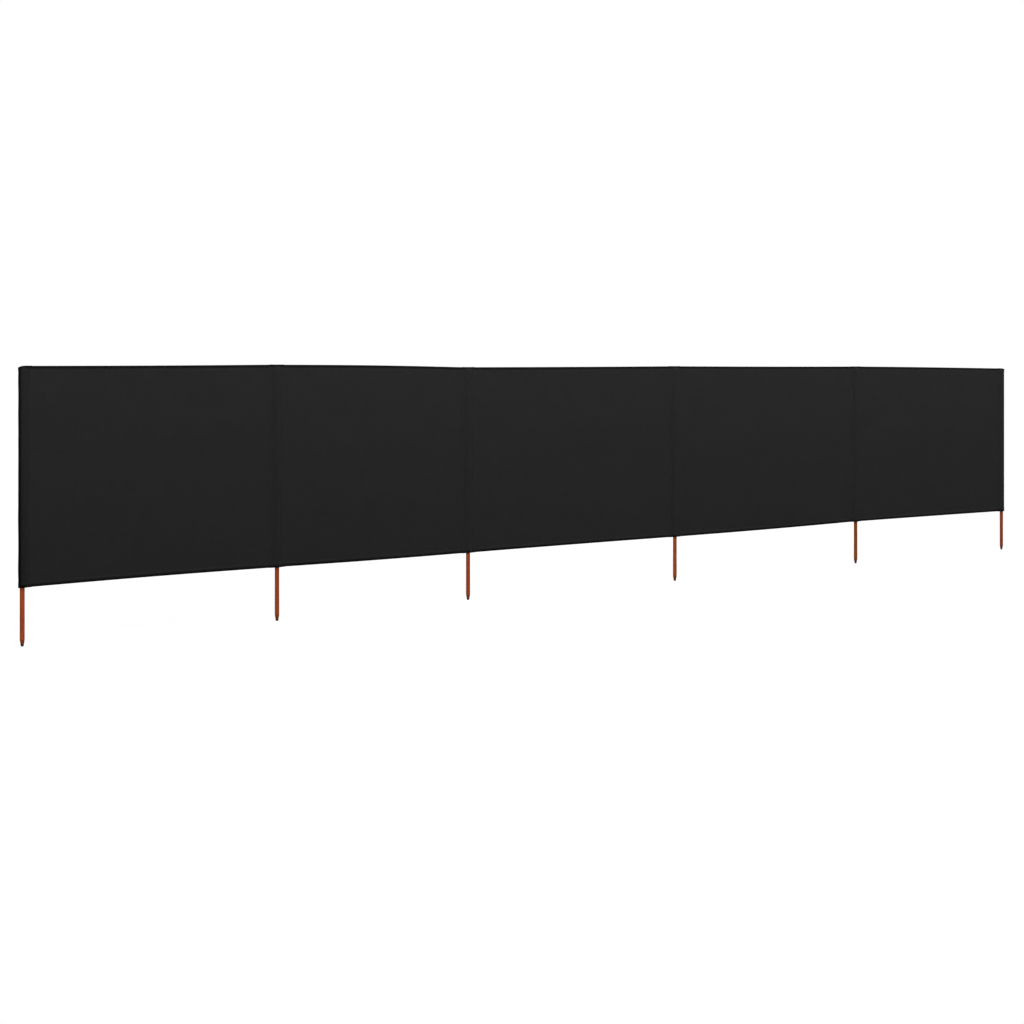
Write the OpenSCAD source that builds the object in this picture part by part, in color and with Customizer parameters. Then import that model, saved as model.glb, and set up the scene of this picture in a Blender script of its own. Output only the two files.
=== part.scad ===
// Beach windbreak: a strip of cloth in five bays on six pointed wooden poles.
// Each pole stands in a sewn pocket that is closed at the top, and its bare point goes into the sand.
// The origin is the blunt end of the first pole, with the strip along +X and its back towards +Y.

/* [Layout] */
// Width of the first bay, from one pole's axis to the next
bay_1_w = 1120; // [600:10:2000]
// Direction of the first bay seen from above, in degrees from +X
bay_1_angle = 0.5; // [-15:0.1:15]
// Width of the second bay
bay_2_w = 1050; // [600:10:2000]
// Direction of the second bay
bay_2_angle = 3.4; // [-15:0.1:15]
// Width of the third bay
bay_3_w = 1250; // [600:10:2000]
// Direction of the third bay
bay_3_angle = -1.8; // [-15:0.1:15]
// Width of the fourth bay
bay_4_w = 1330; // [600:10:2000]
// Direction of the fourth bay
bay_4_angle = -0.5; // [-15:0.1:15]
// Width of the fifth bay
bay_5_w = 1250; // [600:10:2000]
// Direction of the fifth bay
bay_5_angle = -0.9; // [-15:0.1:15]

/* [Poles] */
// Diameter of a pole
pole_d = 18; // [12:0.5:40]
// Bare length of a pole below the cloth
pole_bare = 212; // [120:1:400]
// Length of the sharpened point
point_len = 23; // [10:1:80]
// Diameter of the point's blunt end
point_d = 10; // [3:0.5:14]
// Chamfer round the pole's upper end
pole_chamfer = 1.5; // [0.5:0.1:4]

/* [Cloth] */
// Height of the cloth from edge to edge
cloth_h = 800; // [400:10:1500]
// Thickness of one layer of cloth
cloth_t = 1; // [0.4:0.1:2]
// Height of the hems at the upper and lower edges
hem_h = 20; // [8:1:60]

/* [Pockets] */
// Room beside the pole out to the stitch line
pocket_room = 14; // [6:0.5:40]
// Room past an end pole out to the fold that closes its pocket
end_room = 11; // [5:0.5:40]
// Width of the stitch line between the pocket and the sheet's edge
stitch_w = 2; // [1:0.1:5]
// Width of the seam in which the sheet's edge is held
seam_w = 12; // [6:0.5:40]
// Height of the flattened, closed end above the pole
crown_h = 12; // [6:0.5:40]
// Clearance between the pole and its pocket
pocket_fit = 0.3; // [0.1:0.1:1]
// Clearance between layers of cloth that are sewn together
layer_fit = 0.1; // [0.05:0.05:0.5]

/* [Hidden] */
$fn = 64;
bay_widths = [bay_1_w, bay_2_w, bay_3_w, bay_4_w, bay_5_w];
bay_angles = [bay_1_angle, bay_2_angle, bay_3_angle, bay_4_angle, bay_5_angle];
bays = len(bay_widths);
top_z = pole_bare + cloth_h;
pole_len = top_z - crown_h;
pole_r = pole_d / 2;
hollow_r = pole_r + pocket_fit;
sleeve_r = hollow_r + cloth_t;
hollow_h = pole_len + pocket_fit - pole_bare;
slot_t = cloth_t + 2 * layer_fit;
seam_t = slot_t + 2 * cloth_t;
stitch_at = pole_r + pocket_room;
fold_at = pole_r + end_room;
slot_at = stitch_at + stitch_w;
seam_end = slot_at + seam_w;
panel_in = slot_at + layer_fit;
hem_in = seam_end + layer_fit;
fold_r = cloth_t + layer_fit / 2;
fold_v = (cloth_t + layer_fit) / 2;
// How far a cut runs past the face that it leaves through
overrun = cloth_t;
cloth_colour = [0.145, 0.145, 0.145];
hem_colour = [0.125, 0.125, 0.125];
pocket_colour = [0.16, 0.16, 0.16];
wood_colour = [0.56, 0.24, 0.12];

function pole_at(i) = i == 0
    ? [0, 0]
    : pole_at(i - 1) + bay_widths[i - 1] * [cos(bay_angles[i - 1]), sin(bay_angles[i - 1])];

// Direction from a pole on one of its two sides: 0 along the bay before it, 1 along the bay after it.
// Past an end pole the line of its only bay runs on.
function way_out(i, side) = side == 0 ? bay_angles[max(i - 1, 0)] + 180 : bay_angles[min(i, bays - 1)];

function has_bay(i, side) = side == 0 ? i > 0 : i < bays;

// Direction midway between the bays on either side of a pole
function mitre_way(i) = (way_out(i, 0) - 180 + way_out(i, 1)) / 2;

module at_bay(i) {
    translate(pole_at(i)) rotate(bay_angles[i]) children();
}

// A shaft with a pencil point below and a chamfered end above
module pole(i) {
    color(wood_colour)
    translate(pole_at(i))
    rotate_extrude()
    polygon([
        [0, 0],
        [point_d / 2, 0],
        [pole_r, point_len],
        [pole_r, pole_len - pole_chamfer],
        [pole_r - pole_chamfer, pole_len],
        [0, pole_len],
    ]);
}

// Flanks that leave a round and close in on a stitch line or fold. They start one layer's clearance
// inside the round, so that they cross it instead of only touching it.
module flank_outline(radius, reach, end_t) {
    end = [reach, end_t / 2];
    lean = atan2(end.y, end.x) + acos((radius - layer_fit) / norm(end));
    shoulder = (radius - layer_fit) * [cos(lean), sin(lean)];
    polygon([shoulder, end, [end.x, -end.y], [shoulder.x, -shoulder.y]]);
}

// A part of the cloth's height, wider than any pocket
module slab(low, high) {
    translate([-2 * seam_end, -2 * seam_end, low]) cube([4 * seam_end, 4 * seam_end, high - low]);
}

// A round along the pole with a flank to either side, past both edges of the cloth. A flank ends at the
// stitch line of its bay or, past an end pole, at the fold.
module sleeve(i, radius, stitch_t, fold_reach, fold_t) {
    translate([0, 0, -overrun]) cylinder(r = radius, h = cloth_h + 2 * overrun);
    for (side = [0, 1])
        rotate(way_out(i, side))
        translate([0, 0, -2 * overrun])
        linear_extrude(cloth_h + 4 * overrun)
        if (has_bay(i, side))
            flank_outline(radius, stitch_at, stitch_t);
        else
            flank_outline(radius, fold_reach, fold_t);
}

// A flat strip along each bay of a pole, past both edges of the cloth
module seam_strips(i, from, to, thickness) {
    for (side = [0, 1])
        if (has_bay(i, side))
            rotate(way_out(i, side))
            translate([from, -thickness / 2, -3 * overrun])
            cube([to - from, thickness, cloth_h + 6 * overrun]);
}

// A long wedge that is as wide as the sleeve at the pole's end and one layer thick just past the top
module crown_wedge() {
    low = -4 * overrun;
    high = cloth_h + overrun;
    tip = cloth_t / 2;
    slope = (sleeve_r - tip) / (high - hollow_h);
    foot = tip + slope * (high - low);
    translate([-2 * seam_end, 0, 0])
    rotate([90, 0, 90])
    linear_extrude(4 * seam_end)
    polygon([[-foot, low], [foot, low], [tip, high], [-tip, high]]);
}

// A sleeve with the pole's hollow open below and flattened shut above, and a seam for each sheet's edge
module pocket(i) {
    color(pocket_colour)
    translate([pole_at(i).x, pole_at(i).y, pole_bare])
    intersection() {
        slab(0, cloth_h);
        difference() {
            union() {
                intersection() {
                    sleeve(i, sleeve_r, seam_t - 2 * layer_fit, fold_at, 2 * fold_r);
                    rotate(mitre_way(i)) crown_wedge();
                }
                seam_strips(i, pole_r, seam_end, seam_t);
            }
            intersection() {
                sleeve(i, hollow_r, 2 * layer_fit, fold_at - cloth_t, 2 * layer_fit);
                slab(-4 * overrun, hollow_h);
            }
            seam_strips(i, slot_at, seam_end + overrun, slot_t);
        }
    }
}

// One bay's sheet, from the bottom of one seam's slot to the next
module panel(i) {
    edge = fold_r + layer_fit;
    color(cloth_colour)
    at_bay(i)
    translate([panel_in, -cloth_t / 2, pole_bare + edge])
    cube([bay_widths[i] - 2 * panel_in, cloth_t, cloth_h - 2 * edge]);
}

// The turned-over edge: a round fold over the sheet's edge and one layer down its back
module hem_outline() {
    intersection() {
        translate([fold_v, -fold_r]) circle(r = fold_r);
        translate([fold_v - fold_r, -fold_r]) square([2 * fold_r, fold_r]);
    }
    translate([fold_v + fold_r - cloth_t, -hem_h]) square([cloth_t, hem_h - fold_r]);
}

module hem(i) {
    color(hem_colour)
    at_bay(i)
    translate([hem_in, 0, 0])
    rotate([90, 0, 90])
    linear_extrude(bay_widths[i] - 2 * hem_in)
    children();
}

module top_hem(i) {
    hem(i) translate([0, top_z]) hem_outline();
}

module bottom_hem(i) {
    hem(i) translate([0, pole_bare]) mirror([0, 1]) hem_outline();
}

for (i = [0 : bays]) {
    pole(i);
    pocket(i);
}
for (i = [0 : bays - 1]) {
    panel(i);
    top_hem(i);
    bottom_hem(i);
}
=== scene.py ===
import math

import bpy
from mathutils import Matrix, Vector, noise


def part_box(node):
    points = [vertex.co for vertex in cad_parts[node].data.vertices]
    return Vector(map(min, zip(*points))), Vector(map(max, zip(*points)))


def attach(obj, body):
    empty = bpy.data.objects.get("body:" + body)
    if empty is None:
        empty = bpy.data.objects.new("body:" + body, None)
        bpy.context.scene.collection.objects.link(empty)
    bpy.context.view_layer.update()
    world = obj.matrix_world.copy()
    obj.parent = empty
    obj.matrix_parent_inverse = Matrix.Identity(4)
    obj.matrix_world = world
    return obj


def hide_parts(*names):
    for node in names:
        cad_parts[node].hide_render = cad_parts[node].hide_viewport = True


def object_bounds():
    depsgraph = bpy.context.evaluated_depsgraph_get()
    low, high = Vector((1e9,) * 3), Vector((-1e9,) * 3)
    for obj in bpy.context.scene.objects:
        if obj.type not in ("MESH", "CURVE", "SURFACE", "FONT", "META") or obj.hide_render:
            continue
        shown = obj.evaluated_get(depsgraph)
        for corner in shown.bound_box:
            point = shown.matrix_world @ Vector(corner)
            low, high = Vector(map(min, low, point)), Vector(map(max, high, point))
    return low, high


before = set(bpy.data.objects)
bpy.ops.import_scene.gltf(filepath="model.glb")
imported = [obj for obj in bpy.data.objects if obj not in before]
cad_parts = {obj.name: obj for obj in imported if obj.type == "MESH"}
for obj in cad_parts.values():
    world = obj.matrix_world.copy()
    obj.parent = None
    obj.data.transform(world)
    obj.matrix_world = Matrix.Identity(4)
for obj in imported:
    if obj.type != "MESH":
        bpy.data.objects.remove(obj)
cadLow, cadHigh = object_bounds()
scene = bpy.context.scene
print("frame loaded,", len(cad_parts), "solids")

# places of the poles and ways of the bays, read from the solids
bayCount = 5
poleCount = bayCount + 1
endPoles = (0, bayCount)


def boxMiddle(node):
    low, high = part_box(node)
    return ((Vector(low) + Vector(high)) / 2).to_2d()


polePlaces = [boxMiddle(f"pole_{n + 1}") for n in range(poleCount)]
bayWays = [(b - a).normalized() for a, b in zip(polePlaces, polePlaces[1:])]
bayBacks = [Vector((-way.y, way.x)) for way in bayWays]
baySpans = [(b - a).length for a, b in zip(polePlaces, polePlaces[1:])]
clothLow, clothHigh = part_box("pocket_2")[0][2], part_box("pocket_2")[1][2]
clothMiddle = (clothLow + clothHigh) / 2
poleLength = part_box("pole_1")[1][2]


# small helpers for working on one piece at a time
def clearSelection():
    if bpy.context.mode != "OBJECT":
        bpy.ops.object.mode_set(mode="OBJECT")
    bpy.ops.object.select_all(action="DESELECT")


def onlyPiece(piece):
    clearSelection()
    piece.select_set(True)
    bpy.context.view_layer.objects.active = piece


def editAll(piece):
    onlyPiece(piece)
    bpy.ops.object.mode_set(mode="EDIT")
    bpy.ops.mesh.select_mode(type="VERT")
    bpy.ops.mesh.select_all(action="SELECT")


def editPoints(piece, wanted):
    editAll(piece)
    bpy.ops.mesh.select_all(action="DESELECT")
    bpy.ops.object.mode_set(mode="OBJECT")
    for point in piece.data.vertices:
        point.select = wanted(point.co)
    bpy.ops.object.mode_set(mode="EDIT")


def cutAcross(piece, places, normal):
    editAll(piece)
    for place in places:
        bpy.ops.mesh.select_all(action="SELECT")
        onPlane = tuple(place * n for n in normal)
        bpy.ops.mesh.bisect(plane_co=onPlane, plane_no=normal, threshold=1e-6)
    bpy.ops.object.mode_set(mode="OBJECT")


def copyPiece(piece, name):
    twin = piece.copy()
    twin.data = piece.data.copy()
    twin.name = twin.data.name = name
    scene.collection.objects.link(twin)
    return twin


def dropPiece(piece):
    mesh = piece.data
    bpy.data.objects.remove(piece)
    bpy.data.meshes.remove(mesh)


def applyModifier(piece, kind, **values):
    onlyPiece(piece)
    made = piece.modifiers.new(kind.title(), kind)
    for key, value in values.items():
        setattr(made, key, value)
    bpy.ops.object.modifier_apply(modifier=made.name)


def smoothPiece(piece, angle):
    onlyPiece(piece)
    bpy.ops.object.shade_smooth_by_angle(angle=math.radians(angle))


def easeBetween(low, high, value):
    share = min(1.0, max(0.0, (value - low) / (high - low)))
    return share * share * (3 - 2 * share)


def bothWays(places):
    return [side * place for place in places for side in (-1, 1)]


# smooth noise between -1 and 1; every kind of unevenness has its own seeds
wobbleSeeds = {
    "tension": 0, "shaft": 3, "ripple": 20, "hemPucker": 40, "seamPucker": 60, "dye": 80,
    "flank": 100, "rub": 140, "hemPuff": 160, "seamPuff": 180,
}


def wobble(kind, number, x, y=0.0):
    seed = wobbleSeeds[kind] + number
    return noise.noise(Vector((x, y, 7.3 * seed + 1.7)))


# camera at the photo's angle
cameraSet = {
    "lens": 71.459, "sensor": 36.0, "clipEnd": 200.0, "place": (-3.5380, -6.6544, 0.9936),
    "turn": -41.547, "shiftUp": -0.1379,
}
clearSelection()
bpy.ops.object.camera_add(
    location=cameraSet["place"], rotation=(math.radians(90), 0, math.radians(cameraSet["turn"]))
)
camera = bpy.context.object
camera.name = "photoCamera"
camera.data.sensor_width = cameraSet["sensor"]
camera.data.lens = cameraSet["lens"]
camera.data.shift_y = cameraSet["shiftUp"]
camera.data.clip_end = cameraSet["clipEnd"]
scene.camera = camera
scene.view_settings.view_transform = "Standard"
print("camera placed")


# node helpers: a value is either linked from a socket or set
def feed(tree, socket, value):
    if isinstance(value, bpy.types.NodeSocket):
        tree.links.new(value, socket)
    else:
        socket.default_value = value


def put(tree, kind, inputs=None, **settings):
    made = tree.nodes.new(kind)
    for key, value in settings.items():
        setattr(made, key, value)
    for key, value in (inputs or {}).items():
        feed(tree, made.inputs[key], value)
    return made


def calc(tree, operation, *values, clamp=False):
    made = put(tree, "ShaderNodeMath", operation=operation, use_clamp=clamp)
    for socket, value in zip(made.inputs, values):
        feed(tree, socket, value)
    return made.outputs[0]


def remap(tree, value, fromLow, fromHigh, toLow, toHigh):
    return put(
        tree, "ShaderNodeMapRange",
        {"Value": value, "From Min": fromLow, "From Max": fromHigh, "To Min": toLow, "To Max": toHigh},
        interpolation_type="SMOOTHSTEP",
    ).outputs["Result"]


def mixColour(tree, share, first, second):
    # sockets 0, 6, 7 and the output 2 are the ones that work on colours
    return put(tree, "ShaderNodeMix", {0: share, 6: first, 7: second}, data_type="RGBA").outputs[2]


def stretched(tree, vector, scale):
    return put(tree, "ShaderNodeMapping", {"Vector": vector, "Scale": scale}).outputs["Vector"]


def cloudy(tree, vector, scale, detail=3.0, rough=0.55):
    return put(
        tree, "ShaderNodeTexNoise", {"Vector": vector, "Scale": scale, "Detail": detail, "Roughness": rough}
    ).outputs["Fac"]


def scaled(tree, colour, amount):
    return put(tree, "ShaderNodeVectorMath", {0: colour, "Scale": amount}, operation="SCALE").outputs[0]


def newGroup(name, inputs, outputs):
    group = bpy.data.node_groups.new(name, "ShaderNodeTree")
    for label, kind, value in inputs:
        socket = group.interface.new_socket(label, in_out="INPUT", socket_type=kind)
        if value is not None:
            socket.default_value = value
    for label, kind in outputs:
        group.interface.new_socket(label, in_out="OUTPUT", socket_type=kind)
    return group, group.nodes.new("NodeGroupInput").outputs, group.nodes.new("NodeGroupOutput").inputs


def newMaterial(name):
    material = bpy.data.materials.new(name)
    material.use_nodes = True
    material.node_tree.nodes.clear()
    return material, material.node_tree


def finishSurface(tree, colour, rough, height, depth, strength, gloss):
    bump = put(
        tree, "ShaderNodeBump", {"Height": height, "Distance": depth, "Strength": strength}
    ).outputs["Normal"]
    shader = put(tree, "ShaderNodeBsdfPrincipled", {
        "Base Color": colour, "Roughness": rough, "Normal": bump, "Specular IOR Level": gloss,
    })
    put(tree, "ShaderNodeOutputMaterial", {"Surface": shader.outputs[0]})
    return shader


# floor, backdrop and lamps
studioSet = {
    "floorSize": 900.0, "floorTone": 0.34, "floorOwnLight": 0.88, "shadowReach": (1.0, 3.6),
    "domeLight": 0.15, "boxSize": (12.0, 1.2), "frontPlace": (3.0, -1.6, 2.9), "frontEnergy": 262.0,
    "backPlace": (3.0, 2.0, 2.9), "backEnergy": 265.0,
    "sunEnergy": 0.61, "sunPlace": (-3.5, -7.0, 4.4), "sunAngle": 50.0, "aim": (3.0, 0.1),
}


def seenDirectly(tree):
    rays = put(tree, "ShaderNodeLightPath").outputs
    straight = calc(tree, "MAXIMUM", rays["Is Camera Ray"], rays["Is Glossy Ray"])
    return calc(tree, "MAXIMUM", straight, rays["Is Transmission Ray"])


clearSelection()
bpy.ops.mesh.primitive_plane_add(size=studioSet["floorSize"], location=(cadHigh[0] / 2, 0, cadLow[2]))
floor = bpy.context.object
floor.name = "paleFloor"
bpy.ops.object.transform_apply(location=True)
floorMaterial, tree = newMaterial("paleFloor")
tone = studioSet["floorTone"]
white = (1, 1, 1, 1)
floorMatt = put(tree, "ShaderNodeBsdfDiffuse", {"Color": (tone, tone, tone, 1)}).outputs[0]
floorWhite = put(tree, "ShaderNodeEmission", {"Color": white, "Strength": 1.0}).outputs[0]
# the shadow shows near the strip, and further off the floor runs into the backdrop
floorPlace = put(tree, "ShaderNodeTexCoord").outputs["Object"]
floorPlace = put(
    tree, "ShaderNodeMapping",
    {"Vector": floorPlace, "Location": (-cadHigh[0] / 2, -cadHigh[1] / 2, 0)},
).outputs["Vector"]
aside = put(tree, "ShaderNodeSeparateXYZ", {"Vector": floorPlace}).outputs
pastEnd = calc(tree, "SUBTRACT", calc(tree, "ABSOLUTE", aside["X"]), cadHigh[0] / 2)
pastEnd = calc(tree, "MAXIMUM", pastEnd, 0.0)
fromStrip = calc(tree, "SQRT", calc(
    tree, "MULTIPLY_ADD", pastEnd, pastEnd, calc(tree, "MULTIPLY", aside["Y"], aside["Y"])
))
ownLight = remap(tree, fromStrip, *studioSet["shadowReach"], studioSet["floorOwnLight"], 1.0)
floorShade = put(tree, "ShaderNodeBsdfDiffuse", {"Color": white}).outputs[0]
floorSeen = put(tree, "ShaderNodeMixShader", {0: ownLight, 1: floorShade, 2: floorWhite}).outputs[0]
seen = seenDirectly(tree)
floorShader = put(tree, "ShaderNodeMixShader", {0: seen, 1: floorMatt, 2: floorSeen}).outputs[0]
put(tree, "ShaderNodeOutputMaterial", {"Surface": floorShader})
floor.data.materials.append(floorMaterial)

world = bpy.data.worlds.new("whiteStudio")
world.use_nodes = True
scene.world = world
tree = world.node_tree
tree.nodes.clear()
domeStrength = studioSet["domeLight"]
domeLight = put(tree, "ShaderNodeBackground", {"Color": white, "Strength": domeStrength}).outputs[0]
domeWhite = put(tree, "ShaderNodeBackground", {"Color": white, "Strength": 1.0}).outputs[0]
seen = seenDirectly(tree)
domeShader = put(tree, "ShaderNodeMixShader", {0: seen, 1: domeLight, 2: domeWhite}).outputs[0]
put(tree, "ShaderNodeOutputWorld", {"Surface": domeShader})


def aimLamp(lamp, target):
    way = Vector(target) - lamp.location
    lamp.rotation_euler = way.to_track_quat("-Z", "Y").to_euler()


clearSelection()
for side in ("front", "back"):
    place = studioSet[side + "Place"]
    bpy.ops.object.light_add(type="AREA", location=place)
    softBox = bpy.context.object
    softBox.name = side + "Box"
    softBox.data.shape = "RECTANGLE"
    softBox.data.size, softBox.data.size_y = studioSet["boxSize"]
    softBox.data.energy = studioSet[side + "Energy"]
    aimLamp(softBox, (place[0], studioSet["aim"][1], clothMiddle))
bpy.ops.object.light_add(type="SUN", location=studioSet["sunPlace"])
softSun = bpy.context.object
softSun.name = "softSun"
softSun.data.energy = studioSet["sunEnergy"]
softSun.data.angle = math.radians(studioSet["sunAngle"])
aimLamp(softSun, (*studioSet["aim"], clothMiddle))
print("floor, backdrop and lamps set")


# shared effects: a plain weave on the flat cut, and stained straight-grained wood
weaveSet = {
    "slubScale": (700, 9), "slubShare": 2.8, "cloudScale": 5.0,
    "threadShadeContrast": 0.60, "threadShadeFloor": 0.686, "unevenHeight": 0.6,
}
weave, given, gives = newGroup(
    "plainWeave",
    [("Cut", "NodeSocketVector", None), ("Threads", "NodeSocketFloat", 900.0),
     ("Unevenness", "NodeSocketFloat", 0.1)],
    [("Tone", "NodeSocketFloat"), ("Height", "NodeSocketFloat")],
)
flat = put(weave, "ShaderNodeSeparateXYZ", {"Vector": given["Cut"]}).outputs
warpPlace = calc(weave, "MULTIPLY", flat["X"], given["Threads"])
weftPlace = calc(weave, "MULTIPLY", flat["Y"], given["Threads"])


def threadDome(place):
    across = calc(weave, "SUBTRACT", calc(weave, "MULTIPLY", calc(weave, "FRACT", place), 2.0), 1.0)
    return calc(weave, "SUBTRACT", 1.0, calc(weave, "MULTIPLY", across, across))


warpDome, weftDome = threadDome(warpPlace), threadDome(weftPlace)
crossing = calc(weave, "ADD", calc(weave, "FLOOR", warpPlace), calc(weave, "FLOOR", weftPlace))
weftUp = calc(weave, "FLOORED_MODULO", crossing, 2.0)
warpTop = calc(weave, "MULTIPLY", warpDome, calc(weave, "MULTIPLY_ADD", weftDome, 0.5, 0.5))
weftTop = calc(weave, "MULTIPLY", weftDome, calc(weave, "MULTIPLY_ADD", warpDome, 0.5, 0.5))
warpShown = calc(weave, "MULTIPLY", warpTop, calc(weave, "SUBTRACT", 1.0, weftUp))
threadHeight = calc(weave, "MULTIPLY_ADD", weftTop, weftUp, warpShown)
# thick and thin threads along both ways, and slow clouds in the dye
fine, slow = weaveSet["slubScale"]
warpSlub = cloudy(weave, stretched(weave, given["Cut"], (fine, slow, 1)), 1.0, 2.0)
weftSlub = cloudy(weave, stretched(weave, given["Cut"], (slow, fine, 1)), 1.0, 2.0)
dyeCloud = cloudy(weave, given["Cut"], weaveSet["cloudScale"], 4.0, 0.6)
slubs = calc(weave, "SUBTRACT", calc(weave, "ADD", warpSlub, weftSlub), 1.0)
clouds = calc(weave, "SUBTRACT", dyeCloud, 0.5)
uneven = calc(weave, "MULTIPLY_ADD", slubs, weaveSet["slubShare"], clouds)
uneven = calc(weave, "MULTIPLY", uneven, given["Unevenness"])
# each thread is painted darker where it dips under its neighbour: painted shade between the threads
contrast, darkest = weaveSet["threadShadeContrast"], weaveSet["threadShadeFloor"]
threadShade = calc(weave, "MULTIPLY_ADD", threadHeight, contrast, darkest)
wovenHeight = calc(weave, "MULTIPLY_ADD", uneven, weaveSet["unevenHeight"], threadHeight)
weave.links.new(calc(weave, "ADD", threadShade, uneven), gives["Tone"])
weave.links.new(wovenHeight, gives["Height"])

grainSet = {
    "ring": 0.0021, "driftScale": (60, 60, 5), "drift": 0.0035, "lateCurve": 3.0, "lateDepth": 0.42,
    "fibreScale": (1500, 1500, 16), "fibreDepth": 0.34, "blotchScale": (90, 90, 9), "blotchDepth": 0.75,
    "poreScale": (2600, 2600, 60), "poreFrom": 0.60, "poreTo": 0.72, "poreDepth": 0.22,
    "paler": -0.28, "rough": 0.46, "roughByDepth": 0.16, "lateHeight": 0.5,
}
grain, given, gives = newGroup(
    "stainedGrain",
    [("Wood", "NodeSocketVector", None), ("Pale", "NodeSocketColor", (0.4, 0.1, 0.03, 1)),
     ("Deep", "NodeSocketColor", (0.14, 0.025, 0.008, 1)), ("Ring", "NodeSocketFloat", grainSet["ring"])],
    [("Colour", "NodeSocketColor"), ("Roughness", "NodeSocketFloat"), ("Height", "NodeSocketFloat")],
)


def woodNoise(scale, detail, rough=0.55):
    return cloudy(grain, stretched(grain, given["Wood"], grainSet[scale]), 1.0, detail, rough)


within = put(grain, "ShaderNodeSeparateXYZ", {"Vector": given["Wood"]}).outputs
fromPith = calc(grain, "SQRT", calc(
    grain, "MULTIPLY_ADD", within["X"], within["X"], calc(grain, "MULTIPLY", within["Y"], within["Y"])
))
fromPith = calc(grain, "MULTIPLY_ADD", woodNoise("driftScale", 2.0), grainSet["drift"], fromPith)
ringShare = calc(grain, "FRACT", calc(grain, "DIVIDE", fromPith, given["Ring"]))
lateWood = calc(grain, "POWER", ringShare, grainSet["lateCurve"])
fibre = woodNoise("fibreScale", 3.0, 0.65)
pores = remap(grain, woodNoise("poreScale", 1.0), grainSet["poreFrom"], grainSet["poreTo"], 0.0, 1.0)
blotch = woodNoise("blotchScale", 3.0)
fibreShade = calc(grain, "MULTIPLY", fibre, grainSet["fibreDepth"])
depth = calc(grain, "MULTIPLY_ADD", lateWood, grainSet["lateDepth"], fibreShade)
blotchShade = calc(grain, "MULTIPLY_ADD", blotch, grainSet["blotchDepth"], grainSet["paler"])
depth = calc(grain, "ADD", depth, blotchShade)
depth = calc(grain, "MULTIPLY_ADD", pores, grainSet["poreDepth"], depth, clamp=True)
lateRise = calc(grain, "MULTIPLY", lateWood, grainSet["lateHeight"])
woodRough = calc(grain, "MULTIPLY_ADD", depth, grainSet["roughByDepth"], grainSet["rough"])
grain.links.new(mixColour(grain, depth, given["Pale"], given["Deep"]), gives["Colour"])
grain.links.new(woodRough, gives["Roughness"])
grain.links.new(calc(grain, "SUBTRACT", lateRise, pores), gives["Height"])
print("weave and grain built")


# the cloth: a near-black dye for bays and pockets, woven on each piece's own flat cut
clothSet = {
    "dye": 0.0162, "pocketShare": 0.98, "bayFoldShade": 0.35, "pocketWearAndShade": 0.45,
    "threads": 900.0, "unevenness": 0.14, "weaveDepth": 0.00025, "weaveBump": 0.6,
    "rough": 1.02, "roughByTone": -0.18, "gloss": 0.01, "sheen": 0.004, "sheenRough": 0.6,
}


def clothMaterial(name, dye, wearAndShade):
    material, tree = newMaterial(name)
    cut = put(tree, "ShaderNodeUVMap", uv_map="cut").outputs["UV"]
    threads, unevenness = clothSet["threads"], clothSet["unevenness"]
    woven = put(
        tree, "ShaderNodeGroup", {"Cut": cut, "Threads": threads, "Unevenness": unevenness}, node_tree=weave
    ).outputs
    # rubbed places are paler, and painted shade makes folds, rims, seams and the first pocket darker
    wornAndShaded = put(tree, "ShaderNodeAttribute", attribute_name="wornAndShaded").outputs["Fac"]
    # the attribute's negative values are painted shade, its positive values rub wear
    tone = calc(tree, "MULTIPLY", woven["Tone"], calc(tree, "MULTIPLY_ADD", wornAndShaded, wearAndShade, 1.0))
    rough = calc(tree, "MULTIPLY_ADD", woven["Tone"], clothSet["roughByTone"], clothSet["rough"])
    shader = finishSurface(
        tree, scaled(tree, (dye, dye, dye), tone), rough,
        woven["Height"], clothSet["weaveDepth"], clothSet["weaveBump"], clothSet["gloss"],
    )
    shader.inputs["Sheen Weight"].default_value = clothSet["sheen"]
    shader.inputs["Sheen Roughness"].default_value = clothSet["sheenRough"]
    return material


bayMaterial = clothMaterial("charcoalCloth", clothSet["dye"], clothSet["bayFoldShade"])
pocketDye = clothSet["dye"] * clothSet["pocketShare"]
pocketMaterial = clothMaterial("charcoalPocket", pocketDye, clothSet["pocketWearAndShade"])


threadSet = {
    "dark": 0.0045, "light": 0.014, "twistScale": 2400.0, "twistDepth": 0.0001, "twistBump": 0.6,
    "rough": 0.5, "roughByTwist": 0.2, "gloss": 0.3,
}


def threadMaterial():
    material, tree = newMaterial("sewingThread")
    along = put(tree, "ShaderNodeTexCoord").outputs["Object"]
    twist = cloudy(tree, along, threadSet["twistScale"], 2.0)
    dark, light = ((tone, tone, tone, 1) for tone in (threadSet["dark"], threadSet["light"]))
    rough = calc(tree, "MULTIPLY_ADD", twist, threadSet["roughByTwist"], threadSet["rough"])
    finishSurface(
        tree, mixColour(tree, twist, dark, light), rough,
        twist, threadSet["twistDepth"], threadSet["twistBump"], threadSet["gloss"],
    )
    return material


sewingThread = threadMaterial()
print("cloth and thread dyed")


# how much higher or lower the cloth's edges hang at each pole, and their bow in each bay
hangSet = {
    "topLift": (0.0, 0.0062, -0.0024, 0.0034, 0.0040, -0.0046),
    "lowLift": (-0.0004, 0.0006, -0.0080, -0.0042, 0.0034, 0.0010),
    "topBow": (-0.0010, 0.0027, -0.0007, -0.0009, 0.0010),
    "lowBow": (0.0018, -0.0014, 0.0004, -0.0021, 0.0004),
}


def heightShare(z):
    return min(1.0, max(0.0, (z - clothLow) / (clothHigh - clothLow)))


def poleHang(n, z):
    low, top = hangSet["lowLift"][n], hangSet["topLift"][n]
    return low + (top - low) * heightShare(z)


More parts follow.
